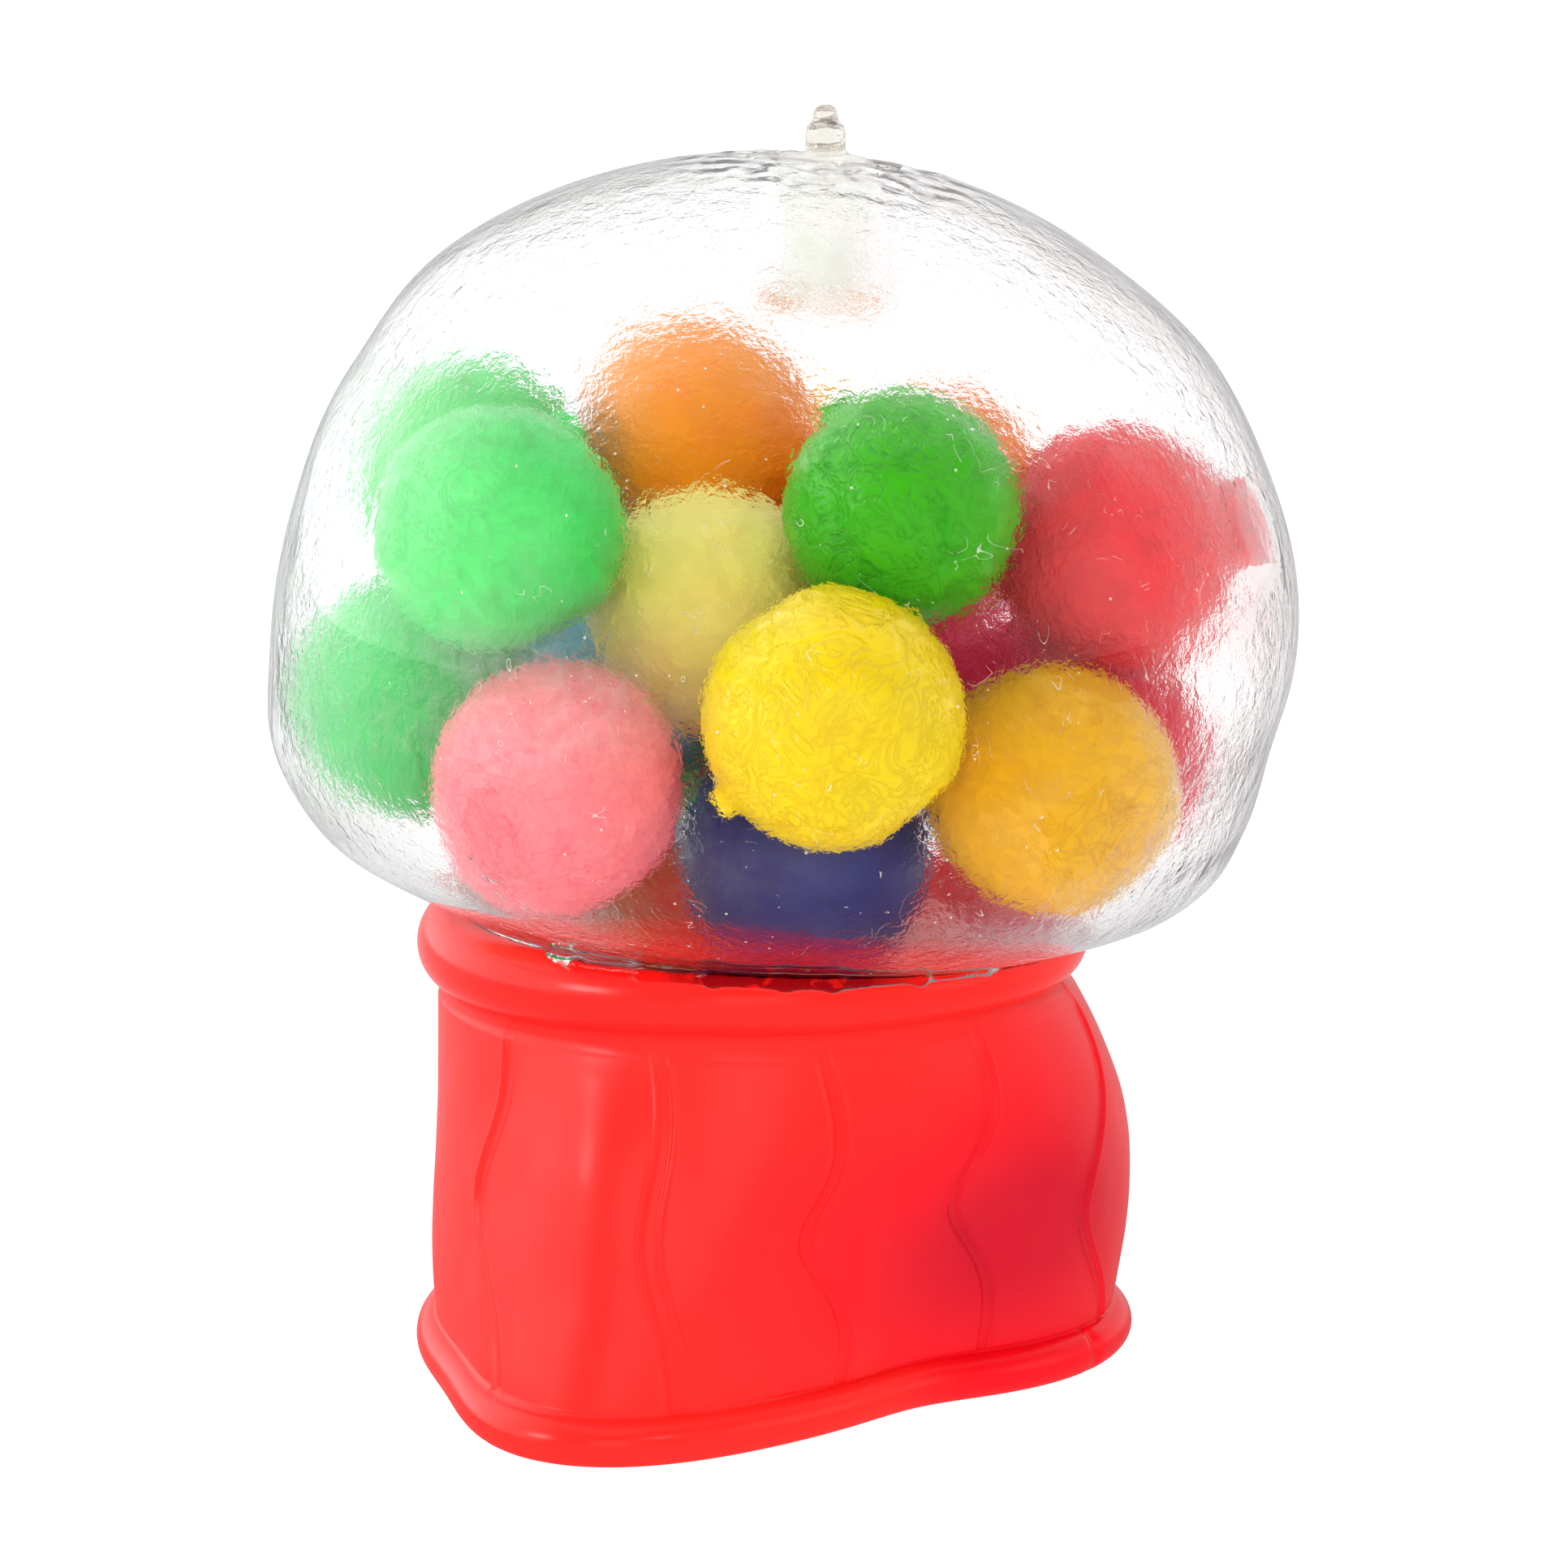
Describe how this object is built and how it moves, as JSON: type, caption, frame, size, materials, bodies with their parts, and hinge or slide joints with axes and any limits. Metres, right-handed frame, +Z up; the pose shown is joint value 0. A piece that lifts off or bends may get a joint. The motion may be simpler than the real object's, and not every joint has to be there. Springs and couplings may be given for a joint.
{
  "type": "gumball machine squeeze toy",
  "caption": "Soft squeeze toy shaped like a gumball machine: clear bag-like globe of loose gel-filled gumballs, sealed filler plug on top, on a hollow grooved red base.",
  "frame": {"origin": "on the ground under the middle of the globe", "axes": "+Z up, the front faces -Y, +X to the right seen from the front"},
  "size_m": [0.101, 0.101, 0.1239],
  "materials": {
    "base_red": "glossy, soft, translucent red",
    "globe_clear": "clear soft skin, faintly frosted",
    "glue_clear": "clear, wet gloss",
    "plug_clear": "clear, slightly yellowed",
    "skin_yellow": "glossy, soft, translucent",
    "gel_yellow": "gel, hidden inside the skin",
    "skin_pink": "glossy, soft, translucent",
    "gel_pink": "gel, hidden inside the skin",
    "skin_amber": "glossy, soft, translucent",
    "gel_amber": "gel, hidden inside the skin",
    "skin_green_front": "glossy, soft, translucent",
    "gel_green_front": "gel, hidden inside the skin",
    "skin_tan": "glossy, soft, translucent",
    "gel_tan": "gel, hidden inside the skin",
    "skin_orange_top": "glossy, soft, translucent",
    "gel_orange_top": "gel, hidden inside the skin",
    "skin_orange_inner": "glossy, soft, translucent",
    "gel_orange_inner": "gel, hidden inside the skin",
    "skin_red_right": "glossy, soft, translucent",
    "gel_red_right": "gel, hidden inside the skin",
    "skin_red_inner": "glossy, soft, translucent",
    "gel_red_inner": "gel, hidden inside the skin",
    "skin_crimson": "glossy, soft, translucent",
    "gel_crimson": "gel, hidden inside the skin",
    "skin_green_mid": "glossy, soft, translucent",
    "gel_green_mid": "gel, hidden inside the skin",
    "skin_green_top": "glossy, soft, translucent",
    "gel_green_top": "gel, hidden inside the skin",
    "skin_green_low": "glossy, soft, translucent",
    "gel_green_low": "gel, hidden inside the skin",
    "skin_navy": "glossy, soft, translucent",
    "gel_navy": "gel, hidden inside the skin",
    "skin_blue_back": "glossy, soft, translucent",
    "gel_blue_back": "gel, hidden inside the skin",
    "skin_blue_inner": "glossy, soft, translucent",
    "gel_blue_inner": "gel, hidden inside the skin",
    "skin_red_low": "glossy, soft, translucent",
    "gel_red_low": "gel, hidden inside the skin",
    "skin_magenta_back": "glossy, soft, translucent",
    "gel_magenta_back": "gel, hidden inside the skin",
    "skin_amber_back": "glossy, soft, translucent",
    "gel_amber_back": "gel, hidden inside the skin",
    "skin_green_back": "glossy, soft, translucent",
    "gel_green_back": "gel, hidden inside the skin"
  },
  "bodies": {
    "base": {"base_skin": "base_red"},
    "globe": {"globe_skin": "globe_clear", "seam_glue": "glue_clear"},
    "plug": {"filler_plug": "plug_clear"},
    "ball_yellow": {"ball_yellow_skin": "skin_yellow", "ball_yellow_gel": "gel_yellow"},
    "ball_pink": {"ball_pink_skin": "skin_pink", "ball_pink_gel": "gel_pink"},
    "ball_amber": {"ball_amber_skin": "skin_amber", "ball_amber_gel": "gel_amber"},
    "ball_green_front": {"ball_green_front_skin": "skin_green_front", "ball_green_front_gel": "gel_green_front"},
    "ball_tan": {"ball_tan_skin": "skin_tan", "ball_tan_gel": "gel_tan"},
    "ball_orange_top": {"ball_orange_top_skin": "skin_orange_top", "ball_orange_top_gel": "gel_orange_top"},
    "ball_orange_inner": {"ball_orange_inner_skin": "skin_orange_inner", "ball_orange_inner_gel": "gel_orange_inner"},
    "ball_red_right": {"ball_red_right_skin": "skin_red_right", "ball_red_right_gel": "gel_red_right"},
    "ball_red_inner": {"ball_red_inner_skin": "skin_red_inner", "ball_red_inner_gel": "gel_red_inner"},
    "ball_crimson": {"ball_crimson_skin": "skin_crimson", "ball_crimson_gel": "gel_crimson"},
    "ball_green_mid": {"ball_green_mid_skin": "skin_green_mid", "ball_green_mid_gel": "gel_green_mid"},
    "ball_green_top": {"ball_green_top_skin": "skin_green_top", "ball_green_top_gel": "gel_green_top"},
    "ball_green_low": {"ball_green_low_skin": "skin_green_low", "ball_green_low_gel": "gel_green_low"},
    "ball_navy": {"ball_navy_skin": "skin_navy", "ball_navy_gel": "gel_navy"},
    "ball_blue_back": {"ball_blue_back_skin": "skin_blue_back", "ball_blue_back_gel": "gel_blue_back"},
    "ball_blue_inner": {"ball_blue_inner_skin": "skin_blue_inner", "ball_blue_inner_gel": "gel_blue_inner"},
    "ball_red_low": {"ball_red_low_skin": "skin_red_low", "ball_red_low_gel": "gel_red_low"},
    "ball_magenta_back": {"ball_magenta_back_skin": "skin_magenta_back", "ball_magenta_back_gel": "gel_magenta_back"},
    "ball_amber_back": {"ball_amber_back_skin": "skin_amber_back", "ball_amber_back_gel": "gel_amber_back"},
    "ball_green_back": {"ball_green_back_skin": "skin_green_back", "ball_green_back_gel": "gel_green_back"}
  },
  "joints": [
    {"name": "base_squash", "type": "slide", "parent": "base", "child": "globe", "axis": [0, 0, -1], "range_m": [0, 0.012], "stiffness_N_per_m": 600, "springref_m": -0.004, "deforming": ["base_skin"]},
    {"name": "globe_press", "type": "slide", "parent": "globe", "child": "plug", "axis": [0, 0, -1], "range_m": [0, 0.006], "stiffness_N_per_m": 200, "springref_m": -0.001, "deforming": ["globe_skin"]},
    {"name": "roll_yellow", "type": "hinge", "parent": "globe", "child": "ball_yellow", "pos_m": [0.0045, -0.036, 0.0705], "axis": [-0.788, 0, -0.6157], "continuous": true},
    {"name": "roll_pink", "type": "hinge", "parent": "globe", "child": "ball_pink", "pos_m": [-0.021, -0.0275, 0.0625], "axis": [0, 0.7071, -0.7071], "continuous": true},
    {"name": "roll_amber", "type": "hinge", "parent": "globe", "child": "ball_amber", "pos_m": [0.025, -0.0235, 0.0615], "axis": [-0.6124, 0.6124, 0.5], "continuous": true},
    {"name": "roll_green_front", "type": "hinge", "parent": "globe", "child": "ball_green_front", "pos_m": [0.011, -0.0205, 0.0875], "axis": [-0.5, 0.5, 0.7071], "continuous": true},
    {"name": "roll_tan", "type": "hinge", "parent": "globe", "child": "ball_tan", "pos_m": [-0.007, -0.009, 0.076], "axis": [0.75, 0.433, -0.5], "continuous": true},
    {"name": "roll_orange_top", "type": "hinge", "parent": "globe", "child": "ball_orange_top", "pos_m": [-0.0085, 0.0115, 0.09], "axis": [-0.5, 0.5, 0.7071], "continuous": true},
    {"name": "roll_orange_inner", "type": "hinge", "parent": "globe", "child": "ball_orange_inner", "pos_m": [0.0145, 0.007, 0.084], "axis": [0.183, 0.683, 0.7071], "continuous": true},
    {"name": "roll_red_right", "type": "hinge", "parent": "globe", "child": "ball_red_right", "pos_m": [0.0315, -0.01, 0.0825], "axis": [0.9848, 0, 0.1736], "continuous": true},
    {"name": "roll_red_inner", "type": "hinge", "parent": "globe", "child": "ball_red_inner", "pos_m": [0.0335, 0.0165, 0.0745], "axis": [-0.433, 0.75, 0.5], "continuous": true},
    {"name": "roll_crimson", "type": "hinge", "parent": "globe", "child": "ball_crimson", "pos_m": [0.031, -0.001, 0.0605], "axis": [-0.6124, 0.6124, -0.5], "continuous": true},
    {"name": "roll_green_mid", "type": "hinge", "parent": "globe", "child": "ball_green_mid", "pos_m": [-0.0265, -0.021, 0.0855], "axis": [0.5, 0.5, 0.7071], "continuous": true},
    {"name": "roll_green_top", "type": "hinge", "parent": "globe", "child": "ball_green_top", "pos_m": [-0.031, 0.004, 0.088], "axis": [-0.3536, 0.6124, -0.7071], "continuous": true},
    {"name": "roll_green_low", "type": "hinge", "parent": "globe", "child": "ball_green_low", "pos_m": [-0.0355, -0.0075, 0.0675], "axis": [-0.2588, 0.9659, 0], "continuous": true},
    {"name": "roll_navy", "type": "hinge", "parent": "globe", "child": "ball_navy", "pos_m": [0.002, -0.0175, 0.054], "axis": [-0.866, 0.5, 0], "continuous": true},
    {"name": "roll_blue_back", "type": "hinge", "parent": "globe", "child": "ball_blue_back", "pos_m": [-0.0205, 0.0295, 0.078], "axis": [0.433, 0.25, 0.866], "continuous": true},
    {"name": "roll_blue_inner", "type": "hinge", "parent": "globe", "child": "ball_blue_inner", "pos_m": [-0.0185, 0.0095, 0.0645], "axis": [-0.6124, 0.3536, -0.7071], "continuous": true},
    {"name": "roll_red_low", "type": "hinge", "parent": "globe", "child": "ball_red_low", "pos_m": [0.002, 0.007, 0.052], "axis": [0, 0.2588, 0.9659], "continuous": true},
    {"name": "roll_magenta_back", "type": "hinge", "parent": "globe", "child": "ball_magenta_back", "pos_m": [0.0185, 0.027, 0.06], "axis": [0.183, 0.683, 0.7071], "continuous": true},
    {"name": "roll_amber_back", "type": "hinge", "parent": "globe", "child": "ball_amber_back", "pos_m": [0.0045, 0.03, 0.0795], "axis": [0, 0.2588, 0.9659], "continuous": true},
    {"name": "roll_green_back", "type": "hinge", "parent": "globe", "child": "ball_green_back", "pos_m": [-0.0055, 0.0295, 0.0575], "axis": [0.2241, 0.8365, 0.5], "continuous": true}
  ]
}
